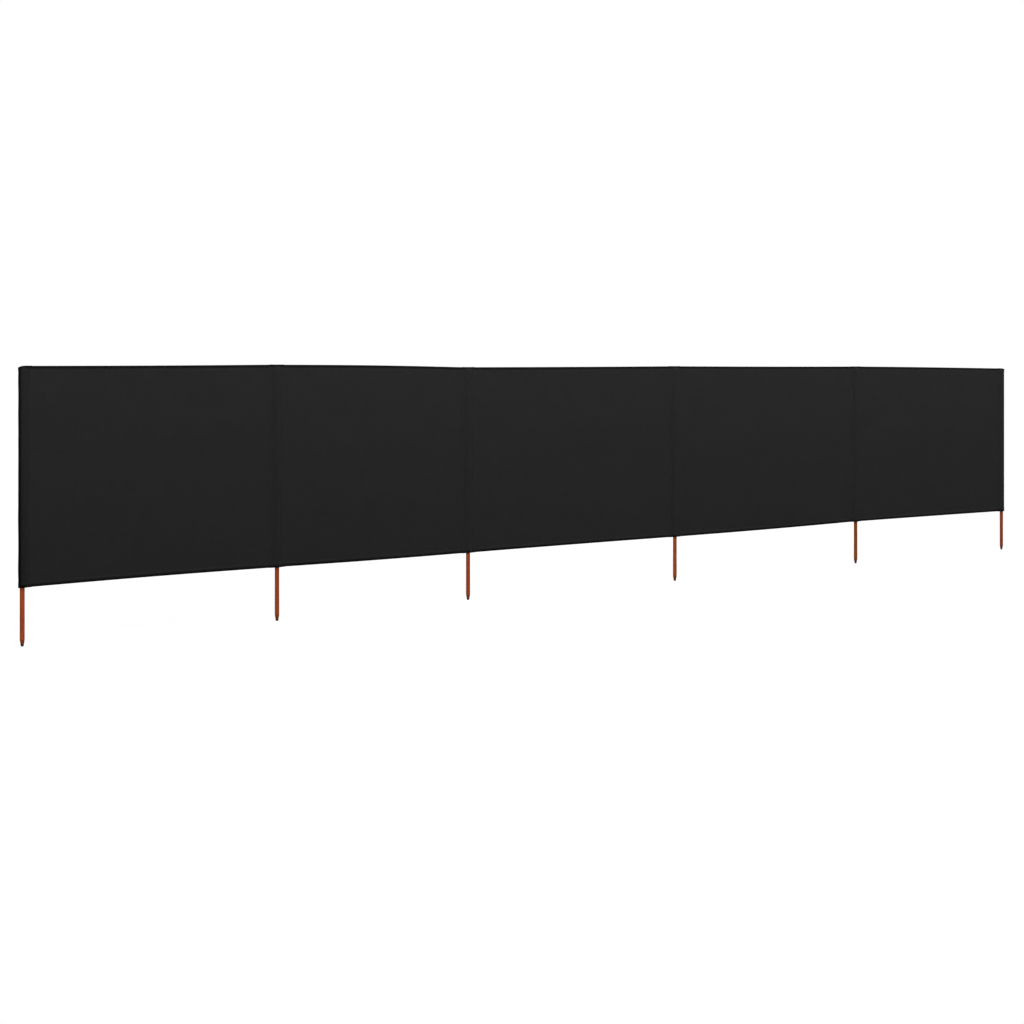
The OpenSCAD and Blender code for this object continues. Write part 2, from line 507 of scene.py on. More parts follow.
def bayHang(bay, along, z):
    arch, up = math.sin(math.pi * along), heightShare(z)
    straight = poleHang(bay, z) * (1 - along) + poleHang(bay + 1, z) * along
    return straight + arch * (hangSet["lowBow"][bay] * (1 - up) + hangSet["topBow"][bay] * up)


# poles: a turned shaft with a pencil point, modelled once
poleSet = {
    "sides": 40, "radius": 0.009, "pointLength": 0.023, "pointEnd": 0.005, "smooth": 40,
    "shoulderSoft": (0.005, 5), "endSoft": (0.0016, 3), "topSoft": (0.0015, 4), "endInset": 0.0009,
    "firstRing": 0.060, "ringStep": 0.045, "topRoom": 0.020, "pointStep": 0.004, "pointRings": 4,
    "unround": 0.00012, "roundWaves": 1.3, "longWaves": 9.0,
    "flats": 7, "flatDepth": 0.00022, "flatTwist": 60.0, "flatRoom": 0.003,
    "stillCore": 0.002, "stillPoint": 0.0005, "stillTop": 0.002,
    "endShort": 0.002, "boardLean": 0.012, "boardStep": 1.3, "turns": (10, 95, 200, 310, 60, 150),
    "pith": (
        (0.031, 0.012), (-0.044, 0.02), (0.052, -0.03),
        (0.026, 0.034), (-0.03, -0.041), (0.047, 0.006),
    ),
}
clearSelection()
shaftLength = poleLength - poleSet["pointLength"]
bpy.ops.mesh.primitive_cylinder_add(
    vertices=poleSet["sides"], radius=poleSet["radius"], depth=shaftLength,
    location=(0, 0, poleSet["pointLength"] + shaftLength / 2),
)
poleModel = bpy.context.object
bpy.ops.object.transform_apply(location=True)
# the point is drawn out of the lower end
editPoints(poleModel, lambda place: place.z < poleSet["pointLength"] + 1e-4)
bpy.ops.mesh.extrude_region_move(TRANSFORM_OT_translate={"value": (0, 0, -poleSet["pointLength"])})
narrow = poleSet["pointEnd"] / poleSet["radius"]
bpy.ops.transform.resize(value=(narrow, narrow, 1), center_override=(0, 0, 0))
# softened shoulder, blunt end and upper rim, each by a width and a number of facets
for height, (offset, segments) in (
    (poleSet["pointLength"], poleSet["shoulderSoft"]),
    (0, poleSet["endSoft"]),
    (poleLength, poleSet["topSoft"]),
):
    editPoints(poleModel, lambda place: abs(place.z - height) < 1e-5)
    bpy.ops.mesh.select_mode(type="EDGE")
    bpy.ops.mesh.bevel(offset=offset, segments=segments, affect="EDGES")
for lower in (True, False):
    editPoints(poleModel, lambda place: place.z < 1e-5 if lower else place.z > poleLength - 1e-5)
    bpy.ops.mesh.select_mode(type="FACE")
    bpy.ops.mesh.inset(thickness=poleSet["endInset"])
ringCount = int((poleLength - poleSet["firstRing"] - poleSet["topRoom"]) / poleSet["ringStep"])
rings = [poleSet["firstRing"] + poleSet["ringStep"] * n for n in range(ringCount)]
rings += [poleSet["pointStep"] + poleSet["pointStep"] * n for n in range(poleSet["pointRings"])]
cutAcross(poleModel, rings, (0, 0, 1))
# a turned shaft is never quite round, and the cutter leaves faint flats on the point
for point in poleModel.data.vertices:
    turn, height = math.atan2(point.co.y, point.co.x), point.co.z
    roundX, roundY = math.cos(turn) * poleSet["roundWaves"], math.sin(turn) * poleSet["roundWaves"]
    off = wobble("shaft", 0, roundX + height * poleSet["longWaves"], roundY) * poleSet["unround"]
    if height < poleSet["pointLength"] - poleSet["flatRoom"]:
        cutterFlat = math.cos(poleSet["flats"] * turn + height * poleSet["flatTwist"])
        off -= poleSet["flatDepth"] * (0.5 + 0.5 * cutterFlat)
    reach = point.co.to_2d().length
    onSide = poleSet["stillPoint"] < height < poleLength - poleSet["stillTop"]
    if reach > poleSet["stillCore"] and onSide:
        point.co.x *= 1 + off / reach
        point.co.y *= 1 + off / reach
smoothPiece(poleModel, poleSet["smooth"])


# stained wood: each pole took the stain a little differently
woodSet = {
    "pale": (0.354, 0.0645, 0.0098), "deep": (0.112, 0.0138, 0.0020),
    "stains": (
        (1.16, 1.18, 1.3), (1.0, 1.0, 1.0), (0.92, 0.85, 0.8),
        (1.02, 1.0, 0.8), (0.64, 0.88, 0.32), (0.79, 0.73, 0.9),
    ),
    "raggedScale": (220, 220, 60), "ragged": 0.016, "raggedMiddle": 0.008,
    "cutHeights": (0.018, 0.030), "cutShade": 0.62, "cutRough": 0.22,
    "soilHeights": (0.004, 0.012), "soilShade": 0.12, "mouthShadeBelow": (0.022, 0.002), "mouthShadeDepth": 0.70,
    "grainDepth": 0.00012, "grainBump": 0.5, "gloss": 0.12,
}


def woodMaterial(name, stain):
    material, tree = newMaterial(name)
    wood = put(tree, "ShaderNodeAttribute", attribute_name="grainPlace").outputs["Vector"]
    pale, deep = ((*[c * s for c, s in zip(woodSet[key], stain)], 1) for key in ("pale", "deep"))
    grown = put(
        tree, "ShaderNodeGroup", {"Wood": wood, "Pale": pale, "Deep": deep}, node_tree=grain
    ).outputs
    place = put(tree, "ShaderNodeTexCoord").outputs["Object"]
    height = put(tree, "ShaderNodeSeparateXYZ", {"Vector": place}).outputs["Z"]
    # the cut point drinks more stain, its blunt end is soiled, and just below the pocket's mouth the wood
    # gets painted shade
    ragged = cloudy(tree, stretched(tree, place, woodSet["raggedScale"]), 1.0, 3.0)
    level = calc(tree, "SUBTRACT", height, woodSet["raggedMiddle"])
    ragged = calc(tree, "MULTIPLY_ADD", ragged, woodSet["ragged"], level)
    thirsty = remap(tree, ragged, *woodSet["cutHeights"], woodSet["cutShade"], 1.0)
    soiled = remap(tree, ragged, *woodSet["soilHeights"], woodSet["soilShade"], 1.0)
    # painted shade on the wood just below the pocket's mouth
    mouthShadeLow, mouthShadeHigh = (clothLow - below for below in woodSet["mouthShadeBelow"])
    mouthShaded = remap(tree, height, mouthShadeLow, mouthShadeHigh, 1.0, woodSet["mouthShadeDepth"])
    shade = calc(tree, "MULTIPLY", calc(tree, "MULTIPLY", thirsty, soiled), mouthShaded)
    rougher = remap(tree, ragged, *woodSet["cutHeights"], woodSet["cutRough"], 0.0)
    finishSurface(
        tree, scaled(tree, grown["Colour"], shade), calc(tree, "ADD", grown["Roughness"], rougher),
        grown["Height"], woodSet["grainDepth"], woodSet["grainBump"], woodSet["gloss"],
    )
    return material


for n in range(poleCount):
    pole = copyPiece(poleModel, f"woodPole_{n + 1}")
    pole.data.transform(Matrix.Rotation(math.radians(poleSet["turns"][n]), 4, "Z"))
    # every pole is cut from another place in the board
    across, along = poleSet["pith"][n]
    grainPlace = pole.data.attributes.new("grainPlace", "FLOAT_VECTOR", "POINT")
    for spot, point in zip(grainPlace.data, pole.data.vertices):
        lean, board = poleSet["boardLean"] * point.co.z, poleSet["boardStep"] * n
        spot.vector = (point.co.x + across + lean, point.co.y + along - 0.5 * lean, point.co.z + board)
    # the hidden upper end carries the cloth, so it follows the height at which that hangs
    for point in pole.data.vertices:
        if point.co.z > poleLength - poleSet["ringStep"] / 2:
            point.co.z += hangSet["topLift"][n] - (poleSet["endShort"] if n in endPoles else 0.0)
    pole.data.transform(Matrix.Translation((polePlaces[n].x, polePlaces[n].y, 0)))
    pole.data.materials.clear()
    pole.data.materials.append(woodMaterial(f"stainedWood_{n + 1}", woodSet["stains"][n]))
    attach(pole, "root")
    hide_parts(f"pole_{n + 1}")
dropPiece(poleModel)


# sewn cloth: sizes that the bays and the pockets share
sewSet = {
    "thick": 0.0006, "layer": 0.00065, "hem": 0.020, "turnUnder": 0.014, "panelDrop": 0.0007,
    "sideIn": 0.0251, "seamEnd": 0.037, "stitchAt": 0.023, "foldAt": {0: 0.0152, bayCount: 0.0245},
    "hemRow": 0.0165, "foldSteps": 6, "underSteps": 4, "smooth": 50,
}
layer = sewSet["layer"]
half = layer / 2


# one thread stitch, a flat bead with sunk ends, modelled once
stitchSet = {
    "length": 0.0034, "pitch": 0.0043, "width": 0.00075, "height": 0.00042, "sides": 5,
    "bodyShare": 0.62, "endShare": 0.19, "seamRoom": 0.0015, "smooth": 60,
}
clearSelection()
bpy.ops.mesh.primitive_cylinder_add(
    vertices=stitchSet["sides"], radius=0.5, depth=1, rotation=(0, math.radians(90), 0),
    end_fill_type="TRIFAN",
)
stitchModel = bpy.context.object
bpy.ops.object.transform_apply(rotation=True)
editAll(stitchModel)
stitchBody = (stitchSet["length"] * stitchSet["bodyShare"], stitchSet["width"], stitchSet["height"] * 2)
bpy.ops.transform.resize(value=stitchBody, center_override=(0, 0, 0))
for end in (-1, 1):
    editPoints(stitchModel, lambda place: place.x * end > 0 and place.yz.length < 1e-6)
    endOut = end * stitchSet["length"] * stitchSet["endShare"]
    bpy.ops.transform.translate(value=(endOut, 0, -stitchSet["height"]))
bpy.ops.object.mode_set(mode="OBJECT")


def stitchRow(count, pitch, place, upright):
    row = copyPiece(stitchModel, "stitchRow")
    applyModifier(
        row, "ARRAY", count=count, use_relative_offset=False, use_constant_offset=True,
        constant_offset_displace=(pitch, 0, 0),
    )
    row.data.transform(Matrix.Translation((-pitch * (count - 1) / 2, 0, 0)))
    if upright:
        row.data.transform(Matrix.Rotation(math.radians(90), 4, "Z"))
    row.data.transform(Matrix.Translation(place))
    return row


def joinRows(rows, name):
    clearSelection()
    for row in rows:
        row.select_set(True)
    bpy.context.view_layer.objects.active = rows[0]
    bpy.ops.object.join()
    joined = bpy.context.object
    joined.name = joined.data.name = name
    return joined


# a turned hem on the flat cut: e runs from the start of the fold, out comes depth behind the sheet,
# height past the start, and the way that the outer face looks
hemDown = sewSet["hem"] - layer - half
hemTotal = math.pi * layer + hemDown + math.pi * half + sewSet["turnUnder"]


def hemTurn(e):
    if e <= 0:
        return 0.0, e, -1.0, 0.0
    if e <= math.pi * layer:
        a = e / layer
        return layer * (1 - math.cos(a)), layer * math.sin(a), -math.cos(a), math.sin(a)
    e -= math.pi * layer
    if e <= hemDown:
        return 2 * layer, -e, 1.0, 0.0
    e -= hemDown
    if e <= math.pi * half:
        a = e / half
        behind, past = 2 * layer - half * (1 - math.cos(a)), -hemDown - half * math.sin(a)
        return behind, past, math.cos(a), -math.sin(a)
    e -= math.pi * half
    return layer, -hemDown + e, -1.0, 0.0


# how a taut bay hangs: depth and height by which it leaves its plane
drapeSet = {
    "belly": (0.004, -0.003, 0.005, -0.0025, 0.0035), "bellyEdge": 0.7, "bellyMiddle": 0.5,
    "tension": 0.0015, "tensionWaves": (9.0, 0.6, 0.9), "ripple": 0.45, "rippleWaves": (22.0, 1.0, 2.2),
    "sideHold": 0.05,
    "hemPucker": 0.0007, "hemReach": 0.035, "hemWaves": (34.0, 2.0),
    "seamPucker": 0.0006, "seamReach": 0.045, "seamWaves": (30.0, 2.0),
    "cornerDrag": 0.0012, "dragAbove": 0.01, "dragReach": 0.17, "dragStart": 0.06,
    "dragRays": 9, "dragShift": 2.1,
    "hemPuff": 0.00055, "hemPuffWaves": 26.0, "seamPuff": 0.00055, "seamPuffWaves": 24.0,
    "puffEven": 0.75, "puffUneven": 0.75, "puffRoom": 0.03,
    "endDrop": {0: 0.0085, bayCount - 1: 0.0030}, "endReach": (0.013, -0.020), "endTall": 0.12,
}


def endDrop(bay, u, z):
    if bay not in drapeSet["endDrop"]:
        return 0.0
    out = u if bay == 0 else baySpans[bay] - u
    start, stop = drapeSet["endReach"]
    share = max(0.0, (start - out) / (start - stop))
    tall = easeBetween(clothHigh - drapeSet["endTall"], clothHigh, z)
    return -drapeSet["endDrop"][bay] * share ** 2 * tall


# waves per metre: upright, how far they lean along the bay, and along the bay
def slowWaves(kind, bay, u, z):
    upWaves, lean, alongWaves = drapeSet[kind + "Waves"]
    return wobble(kind, bay, z * upWaves + lean * u, u * alongWaves)


def drape(bay, u, z):
    span = baySpans[bay]
    along = min(1.0, max(0.0, (u - sewSet["seamEnd"]) / (span - 2 * sewSet["seamEnd"])))
    up = heightShare(z)
    fromSide = min(u, span - u) - sewSet["seamEnd"]
    hold = easeBetween(0.0, drapeSet["sideHold"], fromSide)
    arch = math.sin(math.pi * along)
    fromHem = min(z - clothLow, clothHigh - z)
    bellied = drapeSet["bellyEdge"] + drapeSet["bellyMiddle"] * math.sin(math.pi * up)
    deep = drapeSet["belly"][bay] * arch * bellied
    deep += drapeSet["tension"] * arch * slowWaves("tension", bay, u, z)
    deep += drapeSet["ripple"] * drapeSet["tension"] * hold * slowWaves("ripple", bay, u, z)
    # puckers die away from the hems and the seams
    nearHem = math.exp(-max(0.0, fromHem - sewSet["hem"]) / drapeSet["hemReach"])
    nearSeam = math.exp(-max(0.0, fromSide) / drapeSet["seamReach"])
    fine, coarse = drapeSet["hemWaves"]
    deep += drapeSet["hemPucker"] * hold * nearHem * wobble("hemPucker", bay, u * fine, up * coarse)
    fine, coarse = drapeSet["seamWaves"]
    deep += drapeSet["seamPucker"] * hold * nearSeam * wobble("seamPucker", bay, z * fine, along * coarse)
    # drag lines fan out from the upper corners
    for side in (0, 1):
        out = (u if side == 0 else span - u) - sewSet["seamEnd"]
        drop = clothHigh - z + drapeSet["dragAbove"]
        far = math.hypot(out, drop)
        turn = math.atan2(drop, max(out, 1e-4))
        fade = math.exp(-far / drapeSet["dragReach"]) * easeBetween(0.0, drapeSet["dragStart"], far)
        rays = math.sin(drapeSet["dragRays"] * turn + drapeSet["dragShift"] * bay + side)
        deep += drapeSet["cornerDrag"] * hold * fade * rays
    return deep, bayHang(bay, along, z) + endDrop(bay, u, z)


# flat cut of a bay with its hem allowances, cut once, 1 m wide, and then let out to each bay's width
bayLow, bayHigh = clothLow + sewSet["panelDrop"], clothHigh - sewSet["panelDrop"]
bayStraight = bayHigh - bayLow - 2 * layer
bayCuts = [(span - 2 * sewSet["sideIn"], bayStraight + 2 * hemTotal) for span in baySpans]
baySet = {
    "across": 100, "up": 64, "backRows": (0.006, 0.010, 0.014),
    "frontRows": (0.004, 0.008, 0.012, 0.01585, 0.018),
}
clearSelection()
bpy.ops.mesh.primitive_grid_add(x_subdivisions=baySet["across"], y_subdivisions=baySet["up"], size=1)
bayModel = bpy.context.object
editAll(bayModel)
bpy.ops.transform.resize(value=(1, bayCuts[0][1], 1), center_override=(0, 0, 0))
foldSteps, underSteps = sewSet["foldSteps"], sewSet["underSteps"]
foldRows = [math.pi * layer * n / foldSteps for n in range(foldSteps + 1)]
foldRows += [*baySet["backRows"], math.pi * layer + sewSet["hemRow"] - layer]
foldRows += [math.pi * layer + hemDown + math.pi * half * n / underSteps for n in range(underSteps + 1)]
cutAcross(bayModel, bothWays(bayStraight / 2 + row for row in foldRows), (0, 1, 0))
cutAcross(bayModel, bothWays(bayStraight / 2 - row for row in baySet["frontRows"]), (0, 1, 0))


def nameCut(piece):
    layout = piece.data.uv_layers[0]
    layout.name = "cut"
    for loop in piece.data.loops:
        place = piece.data.vertices[loop.vertex_index].co
        layout.data[loop.index].uv = (place.x, place.y)


def puffHere(kind, number, place):
    waves = wobble(kind, number, place * drapeSet[kind + "Waves"])
    return drapeSet["puffEven"] + drapeSet["puffUneven"] * waves


# the layers puff up between the fold and the row of stitches, on the front and on the back, clear of
# the seams
def hemPuff(bay, x, e):
    front = 1 + e / (sewSet["hemRow"] - layer)
    back = (e - math.pi * layer) / (sewSet["hemRow"] - layer)
    share = front if e < 0 else back
    if not 0 < share < 1:
        return 0.0
    fromSeam = baySpans[bay] / 2 - abs(x) - sewSet["seamEnd"]
    free = easeBetween(0.0, drapeSet["puffRoom"], fromSeam)
    return drapeSet["hemPuff"] * free * math.sin(math.pi * share) * puffHere("hemPuff", bay, x)


def bayPoint(bay, x, y, lift):
    u = baySpans[bay] / 2 + x
    e = abs(y) - bayStraight / 2
    lift = lift + hemPuff(bay, x, e)
    behind, past, lookBack, lookUp = hemTurn(e)
    side = 1 if y > 0 else -1
    z = clothMiddle + side * (bayStraight / 2 + past + lift * lookUp)
    deep, rise = drape(bay, u, z)
    v = behind + lift * lookBack + deep
    ground = polePlaces[bay] + u * bayWays[bay] + v * bayBacks[bay]
    return Vector((ground.x, ground.y, z + rise))


# wear and painted shade: paler above zero where rubbed, darker below it with painted shade; folds and rims
# get painted shade for some millimetres, which then fades
wearAndShadeSet = {
    "foldFade": (0.007, 0.012), "hemFold": 1.9, "hemPatches": 0.4, "hemWaves": (14.0, 3.0),
    "rim": 1.5, "endFold": 1.3, "darkest": 2.0, "seamLine": 0.7, "seamLineReach": 0.003,
    "rub": 0.10, "rubReach": 0.012, "rubWaves": 11.0, "rubPatches": (-0.3, 0.5),
    "endPocketShadeLow": 0.52, "endPocketShadeHigh": 0.25, "endPocketShadeRise": (-0.3, 0.3), "endPocketShadeFade": (0.008, 0.060),
}


def atFold(distance):
    return 1 - easeBetween(*wearAndShadeSet["foldFade"], abs(distance))


def wearAndShadeMarks(piece, amounts):
    marks = piece.data.attributes.new("wornAndShaded", "FLOAT", "POINT")
    for mark, amount in zip(marks.data, amounts):
        mark.value = max(-wearAndShadeSet["darkest"], amount)


# painted shade in the folds of the hems, deeper in some places than in others
def hemFoldShade(bay, x, y):
    alongWaves, upWaves = wearAndShadeSet["hemWaves"]
    # patches in this painted shade; their wobble seeds are listed under dye
    patches = wobble("dye", bay, x * alongWaves, y * upWaves)
    depth = wearAndShadeSet["hemFold"] + wearAndShadeSet["hemPatches"] * patches
    return -atFold(abs(y) - bayStraight / 2 - layer) * depth


for bay in range(bayCount):
    cloth = copyPiece(bayModel, f"bayCloth_{bay + 1}")
    cloth.data.transform(Matrix.Scale(bayCuts[bay][0], 4, (1, 0, 0)))
    nameCut(cloth)
    wearAndShadeMarks(cloth, [hemFoldShade(bay, point.co.x, point.co.y) for point in cloth.data.vertices])
    for point in cloth.data.vertices:
        point.co = bayPoint(bay, point.co.x, point.co.y, 0.0)
    applyModifier(cloth, "SOLIDIFY", thickness=sewSet["thick"], offset=0.0)
    smoothPiece(cloth, sewSet["smooth"])
    cloth.data.materials.append(bayMaterial)
    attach(cloth, "root")
    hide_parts(f"panel_{bay + 1}", f"top_hem_{bay + 1}", f"bottom_hem_{bay + 1}")
dropPiece(bayModel)

rowStart = sewSet["seamEnd"] + stitchSet["seamRoom"]
rowHeights = bothWays([
    bayStraight / 2 + layer - sewSet["hemRow"],
    bayStraight / 2 + math.pi * layer + sewSet["hemRow"] - layer,
])
stitchLift = sewSet["thick"] / 2
for bay in range(bayCount):
    rowCount = int((baySpans[bay] - 2 * rowStart) / stitchSet["pitch"])
    seam = joinRows(
        [stitchRow(rowCount, stitchSet["pitch"], (0, y, stitchLift), False) for y in rowHeights],
        f"hemStitches_{bay + 1}",
    )
    for point in seam.data.vertices:
        point.co = bayPoint(bay, *point.co)
    smoothPiece(seam, stitchSet["smooth"])
    seam.data.materials.append(sewingThread)
    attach(seam, "root")
    print("hem rows sewn on bay", bay + 1, "with", rowCount, "stitches each")


# pockets: the cloth round a pole, in plan from its left end to its right
pocketSet = {
    "gap": 0.0003, "crown": (0.0130, 0.0045), "crownCurve": 1.8, "crownFold": 0.0013,
    "turnIn": 0.015, "topTurnIn": 0.009, "columnStep": 0.0022, "rowStep": 0.0105,
    "hemEase": (0.0235, 0.031), "mouthEase": (0.015, 0.022), "topEase": (0.010, 0.016),
    "arcSteps": 10, "tightest": 0.98, "foldTurns": (0.52, 1.05, 1.57, 2.09, 2.62),
    "flankWave": 0.0011, "flankWaves": 16.0, "slackFrom": 0.004, "slackTo": 0.018, "calmReach": 0.05,
    "crownSteps": (0.0015, 0.003, 0.0055, 0.0085, 0.0115, 0.015, 0.019, 0.0235, 0.0272, 0.031),
    "edgeRow": 0.0034, "seamRow": 0.0130, "edgeLift": 0.8, "mouthRow": 0.0125, "crownRow": 0.0026,
    "rowEnd": 0.003, "sideRoom": 0.030, "overSteps": 3,
}
skinRadius = poleSet["radius"] + pocketSet["gap"] + sewSet["thick"] / 2


def hemThere(z):
    return 1 - easeBetween(*pocketSet["hemEase"], min(z - clothLow, clothHigh - z))


def mouthThere(n, z):
    below = 1 - easeBetween(*pocketSet["mouthEase"], z - clothLow)
    above = 1 - easeBetween(*pocketSet["topEase"], clothHigh - z) if n in endPoles else 0.0
    return max(below, above)


def skinSizes(n, side, z):
    mouth = mouthThere(n, z)
    off = layer * (1 + mouth)
    seamOff = off + (2 * layer * hemThere(z) if side > 0 else 0.0)
    crownStart, crownStop = (clothHigh - drop for drop in pocketSet["crown"])
    crown = min(1.0, max(0.0, (z - crownStart) / (crownStop - crownStart)))
    radius = off + (skinRadius + layer * mouth - off) * (1 - crown ** pocketSet["crownCurve"])
    return off, seamOff, radius


# one skin of a pocket in plan: flat ends, straight flanks and an arc round the pole, as points
def skinLine(n, side, z):
    off, seamOff, radius = skinSizes(n, side, z)

    def flankEnd(way, back, hasBay):
        if hasBay:
            return [way * sewSet[key] + back * side * seamOff for key in ("seamEnd", "stitchAt")]
        return [way * sewSet["foldAt"][n] + back * side * off]

    leftWay, leftBack = -bayWays[max(n - 1, 0)], bayBacks[max(n - 1, 0)]
    rightWay, rightBack = bayWays[min(n, bayCount - 1)], bayBacks[min(n, bayCount - 1)]
    left = flankEnd(leftWay, leftBack, n > 0)
    right = flankEnd(rightWay, rightBack, n < bayCount)
    near, far = left[-1], right[-1]
    spin = 1 if side < 0 else -1
    radius = min(radius, pocketSet["tightest"] * min(near.length, far.length))
    start = math.atan2(near.y, near.x) + spin * math.acos(radius / near.length)
    stop = math.atan2(far.y, far.x) - spin * math.acos(radius / far.length)
    while spin * (stop - start) < -1.0:
        stop += spin * 2 * math.pi
    while spin * (stop - start) > 2 * math.pi - 1.0:
        stop -= spin * 2 * math.pi
    steps = pocketSet["arcSteps"]
    arc = [start + (stop - start) * k / steps for k in range(steps + 1)]
    return left + [Vector((math.cos(a), math.sin(a))) * radius for a in arc] + right[::-1]


def runLength(line):
    return sum((b - a).length for a, b in zip(line, line[1:]))


def alongLine(line, share):
    lengths = [(b - a).length for a, b in zip(line, line[1:])]
    left = min(1.0, max(0.0, share)) * sum(lengths)
    for a, b, size in zip(line, line[1:], lengths):
        if left <= size:
            return a.lerp(b, left / max(size, 1e-9)), (b - a).normalized()
        left -= size
    return line[-1], (line[-1] - line[-2]).normalized()


def endFold(start, stop):
    middle = (start + stop) / 2
    out = middle.normalized()
    spoke = (start - stop) / 2
    return [
        middle + spoke * math.cos(a) + out * spoke.length * math.sin(a) for a in pocketSet["foldTurns"]
    ]


lineCache = {}


def pocketLine(n, side, z):
    key = (n, side, round(z, 5))
    if key not in lineCache:
        front = skinLine(n, -1, z)
        back = skinLine(n, 1, z)
        if n == 0:  # round the outer fold of the first pocket, from the back seam to the front one
            lineCache[key] = back[::-1] + endFold(back[0], front[0]) + front
        elif n == poleCount - 1:  # and of the last one, from the front seam to the back one
            lineCache[key] = front + endFold(front[-1], back[-1]) + back[::-1]
        else:
            lineCache[key] = front if side < 0 else back
    return lineCache[key]


pocketTall = clothHigh - clothLow
stripFold = math.pi * pocketSet["crownFold"] / 2
stripSide = stripFold + pocketTall - pocketSet["crownFold"]
mouthTotal = math.pi * half + pocketSet["turnIn"]
wrapTall = pocketTall + mouthTotal + math.pi * half + pocketSet["topTurnIn"]
wrapLow = mouthTotal - wrapTall / 2
wrapHigh = wrapLow + pocketTall
# the four middle strips are cut alike, to the front of the third pole
stripCut = (runLength(skinLine(2, -1, clothMiddle)), 2 * (stripSide + mouthTotal))
pocketCuts = [
    (runLength(pocketLine(n, 0, clothMiddle)), wrapTall) if n in endPoles else stripCut
    for n in range(poleCount)
]


# turned-in mouth: how far inwards and up, past the edge
def mouthTurn(e):
    if e <= 0:
        return 0.0, -e
    if e <= math.pi * half:
        a = e / half
        return half * (1 - math.cos(a)), -half * math.sin(a)
    return layer, e - math.pi * half


def placePocket(n, side, share, z, push):
    line = pocketLine(n, side, z)
    spot, way = alongLine(line, share)
    out = Vector((way.y, -way.x)) if side <= 0 else Vector((-way.y, way.x))
    # slack cloth beside the pole waves a little
    reach = spot.length
    slack = easeBetween(skinRadius, skinRadius + pocketSet["slackFrom"], reach)
    slack *= 1 - easeBetween(pocketSet["slackTo"], sewSet["stitchAt"], reach)
    calm = easeBetween(0.0, pocketSet["calmReach"], min(z - clothLow, clothHigh - z))
    turn = math.atan2(spot.y, spot.x)
    wave = wobble("flank", n + 10 * side, z * pocketSet["flankWaves"] + 3 * side, turn)
    wave = pocketSet["flankWave"] * slack * calm * wave
    ground = polePlaces[n] + spot + out * (push + wave)
    drop = 0.0
    if n in endPoles:
        bay = min(n, bayCount - 1)
        u = (ground - polePlaces[bay]).dot(bayWays[bay])
        drop = endDrop(bay, u, z)
    return Vector((ground.x, ground.y, z + drop + poleHang(n, z)))


# between its two rows of stitches a seam puffs up, and past the outer row its edge lifts a little
def seamPuff(n, edge, x, y):
    inward = edge - abs(x)
    share = (inward - pocketSet["edgeRow"]) / (pocketSet["seamRow"] - pocketSet["edgeRow"])
    if share > 1:
        return 0.0
    puff = math.sin(math.pi * share) if share > 0 else -pocketSet["edgeLift"] * share
    return drapeSet["seamPuff"] * puff * puffHere("seamPuff", n + (20 if x > 0 else 0), y)


# a strip folded over the pole's end, down the front below y 0 and down the back above it
def stripPoint(n, x, y, lift):
    share = x / pocketCuts[n][0] + 0.5
    lift = lift + seamPuff(n, pocketCuts[n][0] / 2, x, y)
    far = abs(y)
    side = -1 if y < 0 else 1
    if far < stripFold:
        a = y / pocketSet["crownFold"]
        z = clothHigh - pocketSet["crownFold"]
        front = placePocket(n, -1, share, z, 0.0)
        back = placePocket(n, 1, share, z, 0.0)
        spot = front.lerp(back, (1 + math.sin(a)) / 2)
        spot.z += pocketSet["crownFold"] * math.cos(a) + lift
        return spot
    e = far - stripSide
    inward, rise = mouthTurn(e)
    down = clothHigh - pocketSet["crownFold"] - (far - stripFold)
    z = clothLow + half + rise if e > 0 else down
    return placePocket(n, side, share, max(z, clothLow), lift - inward)


# a wrap round an end pole, upright, with both ends turned in
def wrapPoint(n, x, y, lift):
    share = x / pocketCuts[n][0] + 0.5
    lift = lift + seamPuff(n, pocketCuts[n][0] / 2, x, y)
    y = y - wrapLow
    if y < 0:
        inward, rise = mouthTurn(-y)
        z = clothLow + rise
    elif y > pocketTall:
        inward, rise = mouthTurn(y - pocketTall)
        z = clothHigh - rise
    else:
        inward, z = 0.0, clothLow + y
    return placePocket(n, 0, share, min(clothHigh, max(clothLow, z)), lift - inward)


# the upright rows of stitches on both sides of a flat cut
def seamPlaces(size):
    return bothWays(size[0] / 2 - pocketSet[row] for row in ("edgeRow", "seamRow"))


def flatCut(size, rows):
    clearSelection()
    columnCount, rowCount = int(size[0] / pocketSet["columnStep"]), int(size[1] / pocketSet["rowStep"])
    bpy.ops.mesh.primitive_grid_add(x_subdivisions=columnCount, y_subdivisions=rowCount, size=1)
    made = bpy.context.object
    editAll(made)
    bpy.ops.transform.resize(value=(*size, 1), center_override=(0, 0, 0))
    cutAcross(made, rows, (0, 1, 0))
    cutAcross(made, seamPlaces(size), (1, 0, 0))
    nameCut(made)
    return made


overSteps = pocketSet["overSteps"]
turnRows = [math.pi * half * k / underSteps for k in range(underSteps + 1)]
stripRows = bothWays(stripSide + row for row in turnRows)
stripRows += [stripFold * k / overSteps for k in range(-overSteps, overSteps + 1)]
stripRows += bothWays(stripFold + row for row in pocketSet["crownSteps"])
wrapRows = [wrapLow - row for row in turnRows] + [wrapHigh + row for row in turnRows]
wrapRows += [wrapHigh - row for row in pocketSet["crownSteps"]]


# stitches on a flat cut: the upright rows, and level ones along the mouth and crown
def sewRows(cut, runs, levels):
    pitch = stitchSet["pitch"]
    rows = [
        stitchRow(int(length / pitch), pitch, (x, middle, stitchLift), True)
        for middle, length in runs for x in seamPlaces(cut)
    ]
    across = int((cut[0] - pocketSet["sideRoom"]) / pitch)
    rows += [stitchRow(across, pitch, (0, y, stitchLift), False) for y in levels]
    return joinRows(rows, "pocketRows")


